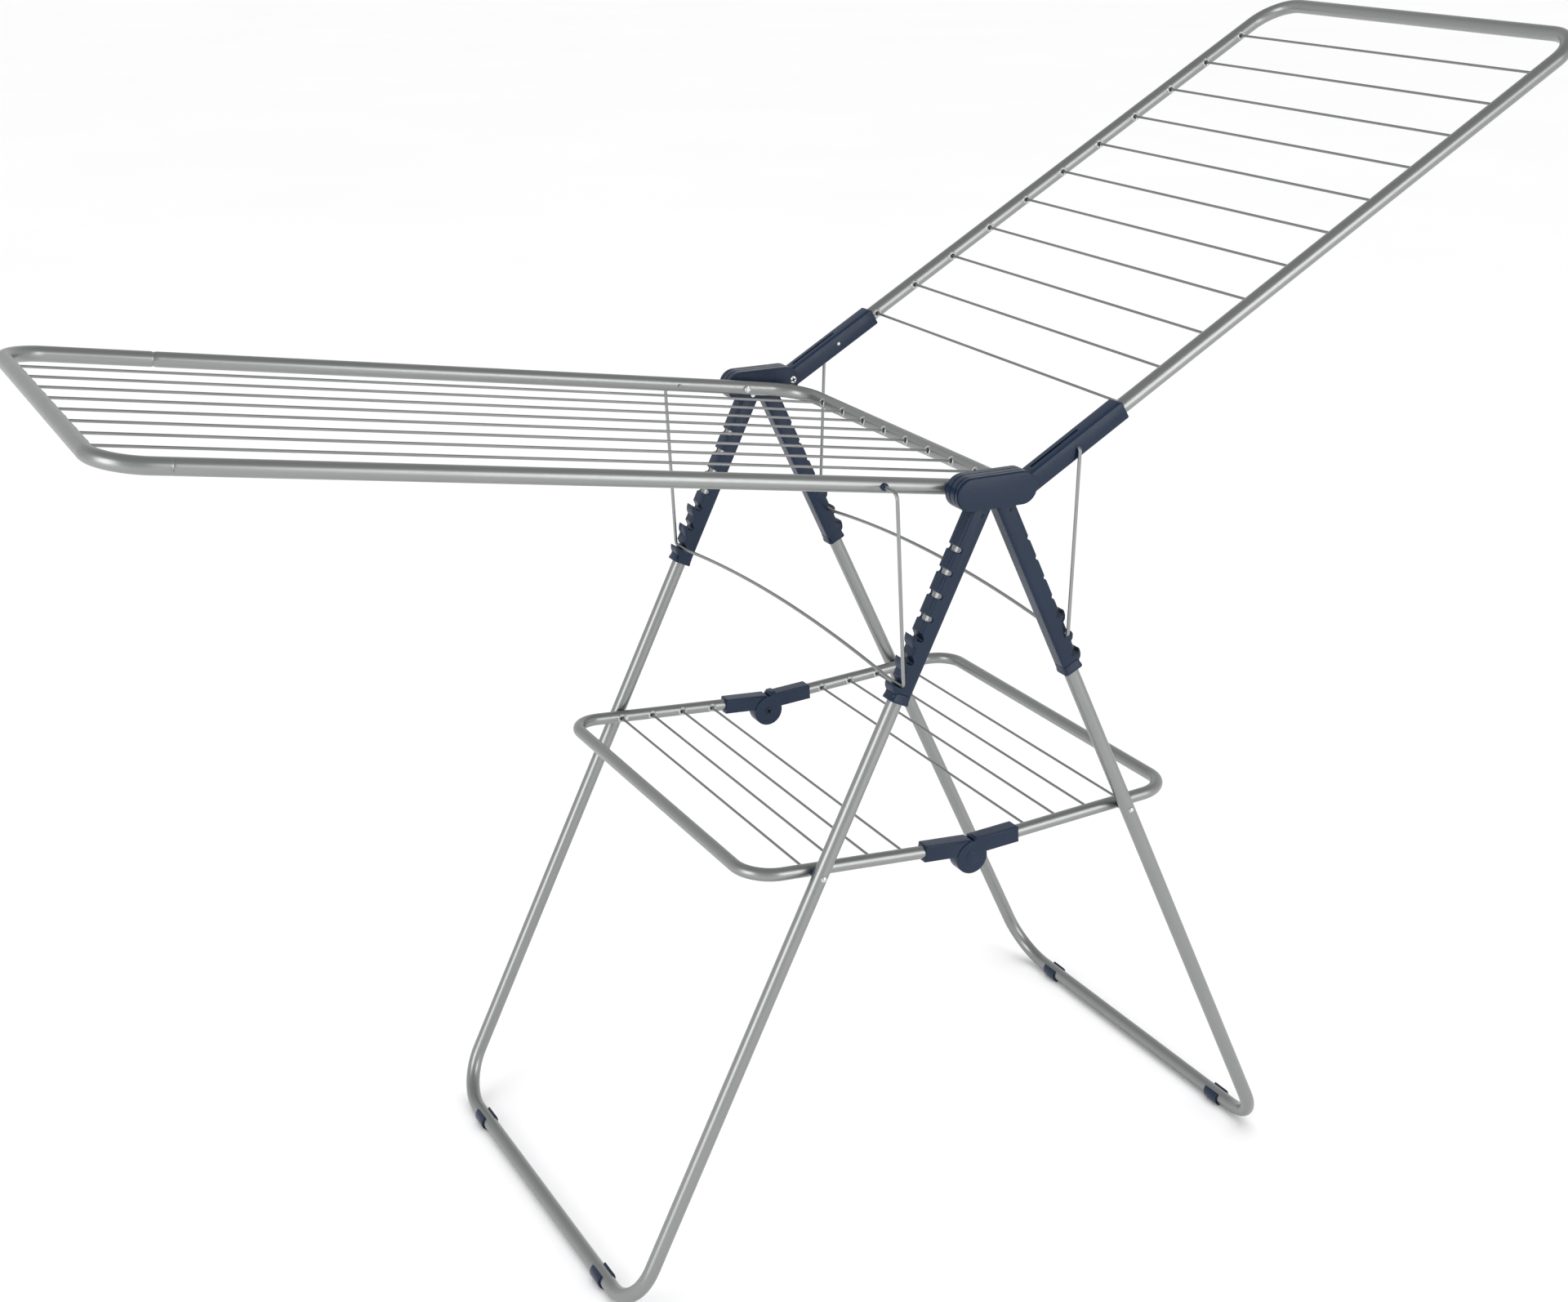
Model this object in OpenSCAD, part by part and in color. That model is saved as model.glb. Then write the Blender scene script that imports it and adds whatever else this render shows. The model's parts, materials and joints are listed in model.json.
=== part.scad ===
// Folding clothes drying rack with two wings, a hinged lower shelf and wire props.
// Millimetres. +Z is up, +X runs along the row of wings, +Y runs across the rack.
// The floor is z = 0 and the origin is under the middle of the unfolded rack.

/* [Tubes and wires] */

// Outside diameter of the leg and wing tubes
tube_d = 18; // [16:0.5:20]

// Wall of all the tubes
wall = 1; // [0.8:0.1:1.2]

// Outside diameter of the lower shelf tubes
shelf_d = 15.5; // [14:0.5:16]

// Diameter of the drying wires
wire_d = 3.2; // [2.5:0.1:3.6]

// Diameter of the bent prop wires
prop_d = 4.2; // [3.6:0.1:4.6]

/* [Legs] */

// Lean of each leg frame from the vertical, in degrees
leg_angle = 25.5; // [24.5:0.5:26.5]

// Leg pivot to floor bar, along the leg
leg_len = 1020; // [980:5:1060]

// Leg tube centre to the middle of the rack, across it
leg_half = 286; // [286:1:286]

// Bend radius at the foot of each leg frame
leg_bend = 60; // [50:5:75]

// Leg pivots each side of the middle
leg_gap = 13; // [13:0.1:13.4]

// Foot clip to the middle of the rack, across it
clip_y = 197; // [170:1:205]

/* [Notched sleeves] */

// Sleeve size in the plane of the swing
sleeve_w = 22.5; // [22:0.1:23]

// Sleeve size across the rack
sleeve_t = 22; // [22:0.1:22]

// Sleeve length below the leg pivot
sleeve_len = 241; // [238:1:250]

// Distance between two notches
notch_pitch = 27.7; // [27.4:0.1:28]

// Last notch to the leg pivot
notch_last = 220.7; // [219:0.1:222]

// Depth of the wire seat outboard of the leg axis
seat_off = 7; // [6.8:0.1:7.4]

/* [Left wing] */

// Rise of the left wing, in degrees
wl_rise = 8.7; // [7:0.1:10]

// Outer bar to the pivot
wl_out = 930; // [880:5:960]

// Inner end bar to the pivot, past it
wl_in = 83; // [82:1:84]

// Left wing tube to the middle of the rack, across it
wl_half = 263; // [263:0.5:263]

// Number of wires along the left wing
wl_wires = 8; // [6:1:8]

// Distance between the wires along the left wing
wl_pitch = 53; // [50:0.5:56]

/* [Right wing] */

// Rise of the right wing, in degrees
wr_rise = 30.3; // [29:0.1:31.5]

// Outer bar to the pivot
wr_out = 892; // [890:1:930]

// Number of wires across the right wing
wr_wires = 11; // [9:1:11]

// Distance between the wires across the right wing
wr_pitch = 66.5; // [62:0.5:66.5]

// First wire to the pivot
wr_first = 149; // [149:1:151]

// Plastic arm length from the pivot
arm_len = 143; // [140:1:145]

/* [Lower shelf] */

// Shelf pivot to the leg pivot, along the leg
shelf_at = 457.2; // [450:1:465]

// Rise of each shelf half towards its outer end, in degrees
shelf_rise = 3.8; // [3.5:0.1:4.2]

// Shelf tube to the middle of the rack, across it
shelf_half = 265; // [265:0.25:265]

// Shelf end bar to the middle of the rack, along the tube
shelf_out = 288.4; // [280:1:295]

// Hinge pin of the shelf below the tube centre
pin_drop = 12.8; // [12.6:0.1:13]

// First shelf wire to the middle of the rack
sw_first = 84; // [82:1:86]

// Distance between two shelf wires
sw_pitch = 44; // [43:1:45]

/* [Hidden] */

$fn = 72;
tube_in = tube_d - 2 * wall;
shelf_in = shelf_d - 2 * wall;
clip_t = 2.5;
run = 0.05;

// height of the leg pivots, and of what hangs from the hubs
pivot_z = leg_len * cos(leg_angle) + tube_d / 2 + clip_t;
hub_w = 104;
hub_h = 39;
hub_x = 2;
hub_z = pivot_z + 12.9;
wl_x = -31;
wl_z = pivot_z + 13.9;
wr_x = 46;
wr_z = pivot_z + 14.3;

// middle of the unfolded rack
left_end = wl_x - wl_out * cos(wl_rise) - tube_d / 2;
right_end = wr_x + wr_out * cos(wr_rise) + tube_d / 2;
x0 = -(left_end + right_end) / 2;

// hub layers, from the middle of the rack outwards
plate_in = 272.6;
plate_out = 274.7;
cap_in = 297.3;
cap_out = 300;

// props
prop_y = 300.3;
prop_bend = 5;
prop_bow = 14.5;
bow_end = 272;
bow_a = 2 * atan(prop_bow / bow_end);
ease_r = 120;
bow_r = bow_end / sin(bow_a) - ease_r;
lw_hook = 97;
rw_hook = 71.2;
lfoot_t = notch_last;
rfoot_t = notch_last - notch_pitch;
lfoot_x = -leg_gap - lfoot_t * sin(leg_angle) - seat_off * cos(leg_angle);
lfoot_z = pivot_z - lfoot_t * cos(leg_angle) + seat_off * sin(leg_angle);
rfoot_x = leg_gap + rfoot_t * sin(leg_angle) + seat_off * cos(leg_angle);
rfoot_z = pivot_z - rfoot_t * cos(leg_angle) + seat_off * sin(leg_angle);
lhook_x = wl_x - lw_hook * cos(wl_rise);
lhook_z = wl_z + lw_hook * sin(wl_rise);
rhook_x = wr_x + rw_hook * cos(wr_rise);
rhook_z = wr_z + rw_hook * sin(wr_rise);

// shelf
spiv_x = leg_gap + shelf_at * sin(leg_angle);
spiv_z = pivot_z - shelf_at * cos(leg_angle);
shelf_z = spiv_z - spiv_x * tan(shelf_rise);
spiv_s = spiv_x / cos(shelf_rise);
pin_z = shelf_z - pin_drop;
knuckle_r = 20.5;
knuckle_len = 64;
kn_y = shelf_half - 1;
kn_h = 9.9;
kn_top = 10;
tongue_y = 7.7;
spacer_in = shelf_half + shelf_d / 2;
spacer_out = leg_half - tube_d / 2;

navy = [0.17, 0.21, 0.31];
steel = [0.60, 0.61, 0.60];
zinc = [0.80, 0.81, 0.80];

// ---- shapes ----

module rod_x(d, a, b) {
    translate([a, 0, 0]) rotate([0, 90, 0]) cylinder(d = d, h = b - a);
}

module rod_y(d, a, b) {
    translate([0, a, 0]) rotate([-90, 0, 0]) cylinder(d = d, h = b - a);
}

module bend(d, r, a) {
    rotate_extrude(angle = a) translate([r, 0]) circle(d = d);
}

// A U of round bar in the XY plane: sides start at near/far and the end bar lies at x = end.
module u_bar(d, near, far, end, half, r) {
    translate([0, -half, 0]) rod_x(d, near, end - r);
    translate([0, half, 0]) rod_x(d, far, end - r);
    translate([end - r, half - r, 0]) bend(d, r, 90);
    translate([end - r, r - half, 0]) mirror([0, 1, 0]) bend(d, r, 90);
    translate([end, 0, 0]) rod_y(d, r - half, half - r);
}

module u_tube(d, near, far, end, half, r) {
    difference() {
        u_bar(d, near, far, end, half, r);
        u_bar(d - 2 * wall, near - 1, far - 1, end, half, r);
    }
}

module rounded(w, h, r) {
    square([w - 2 * r, h], center = true);
    square([w, h - 2 * r], center = true);
    for (i = [-1, 1]) {
        for (j = [-1, 1]) {
            translate([i * (w / 2 - r), j * (h / 2 - r)]) circle(r = r);
        }
    }
}

// An outline drawn in X and Z, given thickness across the rack.
module slab(a, b) {
    translate([0, b, 0]) rotate([90, 0, 0]) linear_extrude(b - a) children();
}

module stadium(w, h) {
    square([w - h, h], center = true);
    translate([(h - w) / 2, 0]) circle(d = h);
    translate([(w - h) / 2, 0]) circle(d = h);
}

// ---- places ----

module middle() {
    translate([x0, 0, 0]) children();
}

module side(s) {
    mirror([s > 0 ? 1 : 0, 0, 0]) children();
}

module across(f) {
    mirror([0, f > 0 ? 0 : 1, 0]) children();
}

// Leg frame: the leg runs down -Z and outboard is -X.
module on_leg(s) {
    middle() side(s) translate([-leg_gap, 0, pivot_z]) rotate([0, leg_angle, 0]) children();
}

module on_wing_left() {
    middle() translate([wl_x, 0, wl_z]) mirror([1, 0, 0]) rotate([0, -wl_rise, 0]) children();
}

module on_wing_right() {
    middle() translate([wr_x, 0, wr_z]) rotate([0, -wr_rise, 0]) children();
}

module on_shelf(s) {
    middle() side(-s) translate([0, 0, shelf_z]) rotate([0, -shelf_rise, 0]) children();
}

// ---- hubs ----

module hub_place(f) {
    middle() across(f) translate([hub_x, 0, hub_z]) children();
}

module hub_holes() {
    for (s = [-1, 1]) {
        translate([s * leg_gap - hub_x, 0, pivot_z - hub_z]) rod_y(6, 270, 298.5);
    }
    translate([wl_x - hub_x, 0, wl_z - hub_z]) rod_y(5, 270, 290);
    translate([wr_x - hub_x, 0, wr_z - hub_z]) rod_y(6, 270, 298.5);
}

module hub_cap(f) {
    color(navy) hub_place(f) difference() {
        union() {
            slab(cap_in, cap_out - 1.2) stadium(hub_w - 1.6, hub_h - 1.6);
            slab(cap_out - 1.2, cap_out) stadium(hub_w - 3.6, hub_h - 3.6);
        }
        hub_holes();
    }
}

module hub_core(f) {
    color(navy) hub_place(f) difference() {
        union() {
            slab(plate_out, 281.5) stadium(hub_w, hub_h);
            slab(281.5, 283) stadium(hub_w - 3, hub_h - 3);
            slab(283, 291) stadium(hub_w, hub_h);
            slab(291, 292.5) stadium(hub_w - 3, hub_h - 3);
            slab(292.5, cap_in) stadium(hub_w, hub_h);
        }
        for (s = [-1, 1]) {
            translate([s * leg_gap - hub_x, 0, pivot_z - hub_z]) {
                rod_y(sleeve_w + 1.6, 270, 299);
                for (a = [0, -s * leg_angle]) {
                    rotate([0, a, 0]) translate([-sleeve_w / 2 - 0.4, 270, -60])
                        cube([sleeve_w + 0.8, 30, 60]);
                }
                rotate([0, -s * leg_angle / 2, 0]) translate([-6, 270, -60]) cube([12, 30, 60]);
            }
        }
        translate([-4, 270, -60]) cube([60, 30, 54.5]);
        translate([wr_x - hub_x, 0, wr_z - hub_z]) {
            rod_y(25.6, 270, 299);
            rotate([0, -wr_rise, 0]) translate([0, 270, -60]) cube([60, 30, 72.4]);
            translate([-12.2, 270, -60]) cube([60, 30, 60]);
        }
        hub_holes();
    }
}

module hub_plate(f) {
    color(navy) hub_place(f) difference() {
        union() {
            slab(plate_in + 0.5, plate_out) stadium(hub_w, hub_h);
            difference() {
                slab(plate_in, plate_in + 0.5) stadium(hub_w, hub_h);
                slab(plate_in - 1, plate_in + 0.5) stadium(hub_w - 5, hub_h - 5);
            }
        }
        hub_holes();
    }
}

module hub_cap_near() {
    hub_cap(-1);
}

module hub_cap_far() {
    hub_cap(1);
}

module hub_core_near() {
    hub_core(-1);
}

module hub_core_far() {
    hub_core(1);
}

module hub_plate_near() {
    hub_plate(-1);
}

module hub_plate_far() {
    hub_plate(1);
}

// The four pins that the legs swing on.
module leg_pins() {
    color(zinc) for (f = [-1, 1]) {
        for (s = [-1, 1]) {
            middle() across(f) translate([s * leg_gap, 0, pivot_z]) rod_y(6, plate_in, 298.5);
        }
    }
}

// The two bolts of the left wing, head towards the middle of the rack.
module wing_left_bolts() {
    color(zinc) for (f = [-1, 1]) {
        middle() across(f) translate([wl_x, 0, wl_z]) {
            rod_y(5, 252.6, 290);
            rod_y(9, 251.4, wl_half - tube_d / 2 - 0.2);
            translate([0, 251.4, 0]) rotate([-90, 0, 0]) translate([0, 0, -1]) cylinder(d1 = 5, d2 = 9, h = 1);
        }
    }
}

// The two pivot screws of the right wing.
module wing_right_pins() {
    color(zinc) for (f = [-1, 1]) {
        middle() across(f) translate([wr_x, 0, wr_z]) {
            difference() {
                union() {
                    rod_y(6, 272.6, 298.5);
                    rod_y(9, 272.1, 273.1);
                }
                for (a = [0, 90]) {
                    rotate([0, a, 0]) translate([-2.2, 272, -0.5]) cube([4.4, 1.2, 1]);
                }
            }
        }
    }
}

// ---- legs ----

// Seats in the lower three notches, drawn in X and Z of the leg frame.
module seat_cut(i) {
    t = notch_last - i * notch_pitch;
    translate([-seat_off, 0.5 - t]) {
        circle(d = 6);
        polygon([[0, -3], [-16, -3], [-16, 7], [-4.3, 7], [1.9, 2.3]]);
    }
}

module seat_cuts() {
    for (i = [0 : 2]) {
        slab(-20, 20) seat_cut(i);
    }
}

module leg_tube(s) {
    color(steel) on_leg(s) difference() {
        rotate([0, 90, 0]) u_tube(tube_d, -3.5, -3.5, leg_len, leg_half, leg_bend);
        for (f = [-1, 1]) {
            translate([0, f * leg_half, 0]) seat_cuts();
            rod_y(6 + 2 * run, f > 0 ? 270 : -302, f > 0 ? 302 : -270);
            translate([0, 0, -shelf_at]) rod_y(5, f > 0 ? 270 : -302, f > 0 ? 302 : -270);
            translate([rivet_x(s), 0, -rivet_t]) rod_y(2.6, f > 0 ? 289 : -300, f > 0 ? 300 : -289);
        }
    }
}

module leg_tube_left() {
    leg_tube(-1);
}

module leg_tube_right() {
    leg_tube(1);
}

// Lip under a lower seat.
module hook(i) {
    t = notch_last - i * notch_pitch;
    slab(-sleeve_t / 2 + 1.2, sleeve_t / 2 - 1.2) translate([0, -t])
        polygon([[-9.5, -2], [-15.6, -2], [-16.4, -3.4], [-15.6, -6], [-11, -11.5], [-9.5, -11.5]]);
}

// The upper notches run in at a slant: deep at one face of the sleeve, shallow at the other.
module upper_notch(i, s) {
    t = notch_last + 3 - i * notch_pitch;
    translate([-5.2, 0, -t]) rotate([0, 0, -s * 12.4]) slab(-20, 20) {
        translate([-3.25, 0]) circle(d = 6.5);
        translate([-20, -3.25]) square([16.75, 6.5]);
    }
}

// Place of the rivet that holds a sleeve, across and down the leg.
rivet_t = 13.5;

function rivet_x(s) = s < 0 ? 3.5 : -2.5;

module sleeve(s, f) {
    color(navy) on_leg(s) translate([0, f * leg_half, 0]) difference() {
        union() {
            intersection() {
                translate([0, 0, -sleeve_len]) linear_extrude(sleeve_len + 20) rounded(sleeve_w, sleeve_t, 3.5);
                slab(-20, 20) union() {
                    circle(d = sleeve_w);
                    translate([-sleeve_w / 2, -sleeve_len]) square([sleeve_w, sleeve_len]);
                }
            }
            intersection() {
                union() {
                    translate([0, 0, -sleeve_len]) linear_extrude(3.4) rounded(sleeve_w + 2.4, sleeve_t + 1.6, 4);
                    translate([0, 0, 3.4 - sleeve_len]) linear_extrude(4) rounded(sleeve_w + 0.5, sleeve_t + 0.5, 3.6);
                }
                translate([-20, f > 0 ? -sleeve_t / 2 : -20, -sleeve_len - 5]) cube([40, 20 + sleeve_t / 2, 20]);
            }
            for (i = [0 : 2]) {
                hook(i);
            }
        }
        translate([0, 0, -sleeve_len - 1]) cylinder(d = tube_d, h = sleeve_len + 4.5);
        rod_y(6 + 2 * run, -20, 20);
        for (i = [0 : 2]) {
            slab(-20, 20) seat_cut(i);
        }
        for (i = [3 : 6]) {
            upper_notch(i, s);
        }
        translate([rivet_x(s), 0, -rivet_t]) rod_y(2.6, f > 0 ? 3 : -15, f > 0 ? 15 : -3);
    }
}

module sleeve_left_near() {
    sleeve(-1, -1);
}

module sleeve_left_far() {
    sleeve(-1, 1);
}

module sleeve_right_near() {
    sleeve(1, -1);
}

module sleeve_right_far() {
    sleeve(1, 1);
}

module sleeve_rivets(s) {
    color(navy) for (f = [-1, 1]) {
        on_leg(s) across(f) translate([rivet_x(s), leg_half, -rivet_t]) {
            rod_y(2.6, 5, sleeve_t / 2);
            translate([0, sleeve_t / 2, 0]) rotate([-90, 0, 0]) cylinder(d1 = 4.6, d2 = 2.6, h = 0.8);
        }
    }
}

module sleeve_rivets_left() {
    sleeve_rivets(-1);
}

module sleeve_rivets_right() {
    sleeve_rivets(1);
}

// A clip open at the top, with a flat sole.
module foot_clip(s, f) {
    fx = leg_gap + leg_len * sin(leg_angle);
    fz = tube_d / 2 + clip_t;
    color(navy) middle() side(s) across(f) translate([-fx, 0, fz]) difference() {
        union() {
            rod_y(tube_d + 2 * clip_t, clip_y - 13, clip_y + 13);
            translate([-5, clip_y - 13, -fz]) cube([10, 26, 4]);
        }
        rod_y(tube_d, clip_y - 20, clip_y + 20);
        translate([-7.2, clip_y - 20, 0]) cube([14.4, 40, 20]);
    }
}

module foot_clip_left_near() {
    foot_clip(-1, -1);
}

module foot_clip_left_far() {
    foot_clip(-1, 1);
}

module foot_clip_right_near() {
    foot_clip(1, -1);
}

module foot_clip_right_far() {
    foot_clip(1, 1);
}

module dome(d, h) {
    rotate([-90, 0, 0]) intersection() {
        cylinder(d = d, h = h);
        translate([0, 0, h - (d * d / 4 + h * h) / (2 * h)]) sphere(r = (d * d / 4 + h * h) / (2 * h));
    }
}

// Rivets between leg and shelf: the left pair reaches through the shelf tube.
module shelf_rivets(s, reach) {
    color(zinc) for (f = [-1, 1]) {
        on_leg(s) across(f) translate([0, 0, -shelf_at]) {
            rod_y(5, reach, leg_half + tube_d / 2 - 0.3);
            difference() {
                union() {
                    translate([0, leg_half + tube_d / 2 - 0.9, 0]) rod_y(7.4, 0, 1.2);
                    translate([0, leg_half + tube_d / 2 + 0.3, 0]) dome(7.4, 1.7);
                }
                translate([0, leg_half, -30]) difference() {
                    cylinder(d = tube_d, h = 60);
                    translate([0, 0, 30]) rod_y(5, 0, 20);
                }
            }
        }
    }
}

module shelf_rivets_left() {
    shelf_rivets(-1, shelf_half - shelf_d / 2 - 0.6);
}

module shelf_rivets_right() {
    shelf_rivets(1, spacer_in + 0.3);
}

module shelf_spacers(s) {
    color(navy) for (f = [-1, 1]) {
        on_leg(s) across(f) translate([0, 0, -shelf_at]) difference() {
            rod_y(12, spacer_in + 0.3, spacer_out + 2);
            rod_y(5, spacer_in - 5, spacer_out + 8);
            translate([0, leg_half, 0]) translate([0, 0, -30]) cylinder(d = tube_d, h = 60);
        }
    }
}

module shelf_spacers_left() {
    shelf_spacers(-1);
}

module shelf_spacers_right() {
    shelf_spacers(1);
}

// ---- left wing ----

wl_bend = 50;
joint_near = 861;
joint_far = 760;
plug = 25;

module wl_wire_rods(d, a, b) {
    for (i = [0 : wl_wires - 1]) {
        translate([0, (i - (wl_wires - 1) / 2) * wl_pitch, 0]) rod_x(d, a, b);
    }
}

module wing_left_outer_tube() {
    color(steel) on_wing_left() difference() {
        u_tube(tube_d, joint_near, joint_far, wl_out, wl_half, wl_bend);
        wl_wire_rods(wire_d, wl_out - 14, wl_out);
    }
}

module wing_left_inner_tube() {
    color(steel) on_wing_left() difference() {
        union() {
            mirror([1, 0, 0]) u_tube(tube_d, -joint_near, -joint_far, wl_in, wl_half, wl_bend);
            for (f = [-1, 1]) {
                translate([0, f * wl_half, 0]) difference() {
                    rod_x(tube_in, (f > 0 ? joint_far : joint_near) - 6, (f > 0 ? joint_far : joint_near) + plug);
                    rod_x(tube_in - 2 * wall, 700, 900);
                }
            }
        }
        wl_wire_rods(wire_d, -wl_in, 14 - wl_in);
        for (f = [-1, 1]) {
            translate([0, f * wl_half, 0]) rod_y(5 + 2 * run, -20, 20);
            translate([lw_hook, f * wl_half, 0]) rod_y(prop_d + 2 * run, -20, 20);
        }
        for (f = [-1, 1]) {
            translate([lw_hook, 0, 0]) rod_y(6, f > 0 ? 268 : -275, f > 0 ? 275 : -268);
        }
    }
}

module wing_left_wires() {
    color(steel) on_wing_left() wl_wire_rods(wire_d, tube_d / 2 - wall - 2 - wl_in, wl_out - tube_d / 2 + wall + 2);
}

module wing_left_grommets() {
    color(navy) for (f = [-1, 1]) {
        on_wing_left() across(f) translate([lw_hook, 0, 0]) difference() {
            union() {
                rod_y(6, 269, 273);
                difference() {
                    rod_y(9, 270, 275.2);
                    translate([0, wl_half, 0]) rod_x(tube_d, -20, 20);
                }
            }
            rod_y(prop_d + 2 * run, 260, 280);
        }
    }
}

// ---- props ----

// A wire U hung from two short inward ends; len is from the ends to the foot.
module prop(len, reach, top) {
    for (f = [-1, 1]) {
        across(f) {
            rod_y(prop_d, reach, prop_y - top);
            translate([0, prop_y - top, -top]) rotate([0, -90, 0]) bend(prop_d, top, 90);
            translate([0, prop_y, prop_bend - len]) cylinder(d = prop_d, h = len - prop_bend - top);
            translate([0, prop_y - prop_bend, prop_bend - len]) rotate([0, 90, 0]) bend(prop_d, prop_bend, 90);
            translate([0, 0, -len]) rod_y(prop_d, bow_end, prop_y - prop_bend);
            translate([0, bow_end, ease_r - len]) rotate([0, 90, 0]) rotate([0, 0, -bow_a]) bend(prop_d, ease_r, bow_a);
            translate([0, bow_end - ease_r * sin(bow_a), ease_r * (1 - cos(bow_a)) - len])
                rotate([-bow_a, 0, 0]) rod_y(prop_d + 0.1, -1.5, 1.5);
            translate([0, 0, prop_bow - len - bow_r]) rotate([0, -90, 0]) bend(prop_d, bow_r, bow_a);
        }
    }
}

module prop_left() {
    len = norm([lhook_x - lfoot_x, lhook_z - lfoot_z]);
    color(steel) middle() translate([lhook_x, 0, lhook_z])
        rotate([0, -atan2(lfoot_x - lhook_x, lhook_z - lfoot_z), 0]) prop(len, 251.5, 9);
}

module prop_right() {
    len = norm([rhook_x - rfoot_x, rhook_z - rfoot_z]);
    color(steel) middle() translate([rhook_x, 0, rhook_z])
        rotate([0, -atan2(rfoot_x - rhook_x, rhook_z - rfoot_z), 0]) prop(len, 288, prop_bend);
}

// ---- right wing ----

wr_bend = 50;
tube_start = 30;

module wr_wire_rods(d, half) {
    for (i = [0 : wr_wires - 1]) {
        translate([wr_first + i * wr_pitch, 0, 0]) rod_y(d, -half, half);
    }
}

module wing_right_tube() {
    color(steel) on_wing_right() difference() {
        u_tube(tube_d, tube_start, tube_start, wr_out, leg_half, wr_bend);
        wr_wire_rods(wire_d, leg_half);
        for (f = [-1, 1]) {
            across(f) {
                translate([rw_hook, 0, 0]) rod_y(prop_d + 2 * run, leg_half + 1, leg_half + 12);
                translate([80, 0, 0]) rod_y(3, leg_half - 12, leg_half - 2);
            }
        }
    }
}

module wing_right_arm(f) {
    color(navy) on_wing_right() across(f) translate([0, leg_half, 0]) difference() {
        union() {
            intersection() {
                translate([-12, 0, 0]) rotate([90, 0, 90]) linear_extrude(arm_len + 12) rounded(22, 24, 3);
                slab(-11, 11) union() {
                    circle(d = 24);
                    translate([0, -12]) square([arm_len, 24]);
                }
            }
        }
        translate([tube_start, 0, 0]) rod_x(tube_d, 0, arm_len);
        rod_y(6 + 2 * run, -20, 20);
        translate([rw_hook, 0, 0]) rod_y(prop_d + 2 * run, 1, 20);
        translate([rw_hook, 9, 0]) rotate([-90, 0, 0]) cylinder(d1 = prop_d + 0.2, d2 = prop_d + 3.2, h = 2.4);
        translate([80, 0, 0]) rod_y(3, -20, -2);
        translate([16, -2, 10.4]) cube([44, 4, 3]);
        translate([60, -1, 10.9]) cube([24, 2, 3]);
        translate([arm_len, -12, 12]) rotate([0, 45, 0]) translate([-3, 0, -3]) cube([6, 24, 6]);
        translate([arm_len, -12, -12]) rotate([0, 45, 0]) translate([-2, 0, -2]) cube([4, 24, 4]);
    }
}

module wing_right_arm_near() {
    wing_right_arm(-1);
}

module wing_right_arm_far() {
    wing_right_arm(1);
}

module wing_right_rivets() {
    color(zinc) for (f = [-1, 1]) {
        on_wing_right() across(f) translate([80, 0, 0]) {
            rod_y(3, leg_half - 11, leg_half - 6);
            mirror([0, 1, 0]) translate([0, 11 - leg_half, 0]) dome(5, 0.9);
        }
    }
}

module wing_right_wires() {
    color(steel) on_wing_right() wr_wire_rods(wire_d, leg_half - tube_d / 2 + wall + 2);
}

// ---- lower shelf ----

shelf_bend = 40;
shelf_start = 30;

module shelf_rods(d, half) {
    for (i = [0 : 3]) {
        translate([(sw_first + i * sw_pitch) / cos(shelf_rise), 0, 0]) rod_y(d, -half, half);
    }
}

module shelf_tube(s) {
    color(steel) on_shelf(s) difference() {
        u_tube(shelf_d, shelf_start, shelf_start, shelf_out, shelf_half, shelf_bend);
        shelf_rods(wire_d, shelf_half);
        translate([spiv_s, 0, 0]) rod_y(5 + 2 * run, -290, 290);
    }
}

module shelf_left_tube() {
    shelf_tube(-1);
}

module shelf_right_tube() {
    shelf_tube(1);
}

module shelf_left_wires() {
    color(steel) on_shelf(-1) shelf_rods(wire_d, shelf_half - shelf_d / 2 + wall + 2);
}

module shelf_right_wires() {
    color(steel) on_shelf(1) shelf_rods(wire_d, shelf_half - shelf_d / 2 + wall + 2);
}

// Closed ends of the right rivet holes, on the inner side of the shelf tube.
module shelf_rivet_heads() {
    color(zinc) for (f = [-1, 1]) {
        on_shelf(1) across(f) translate([spiv_s, shelf_half - shelf_d / 2, 0]) {
            rod_y(5, -0.2, 3);
            difference() {
                mirror([0, 1, 0]) {
                    translate([0, -0.9, 0]) rod_y(7.4, 0, 1.2);
                    translate([0, 0.3, 0]) dome(7.4, 1.4);
                }
                difference() {
                    translate([0, shelf_d / 2, 0]) rod_x(shelf_d, -20, 20);
                    rod_y(5, -10, 20);
                }
            }
        }
    }
}

// Plastic end of a shelf half: a box around the tube, rounded towards the hinge.
module knuckle_box(len) {
    translate([0, kn_y, 0]) intersection() {
        rotate([90, 0, 90]) linear_extrude(len) rounded(2 * kn_h, 2 * kn_top, 3);
        slab(-kn_h, kn_h) translate([3, -kn_top]) square([len - 3, 2 * kn_top]);
    }
}

module knuckle_left(f) {
    color(navy) across(f) difference() {
        union() {
            difference() {
                on_shelf(-1) knuckle_box(knuckle_len);
                middle() translate([0, 0, pin_z]) {
                    rod_y(2 * knuckle_r + 1, 250, kn_y - tongue_y / 2);
                    rod_y(2 * knuckle_r + 1, kn_y + tongue_y / 2, 280);
                }
            }
            middle() translate([0, 0, pin_z]) rod_y(2 * knuckle_r, kn_y - tongue_y / 2, kn_y + tongue_y / 2);
        }
        on_shelf(-1) translate([0, shelf_half, 0]) rod_x(shelf_d, shelf_start, 80);
        middle() translate([0, 0, pin_z]) rod_y(7 + 2 * run, 250, 280);
    }
}

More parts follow.
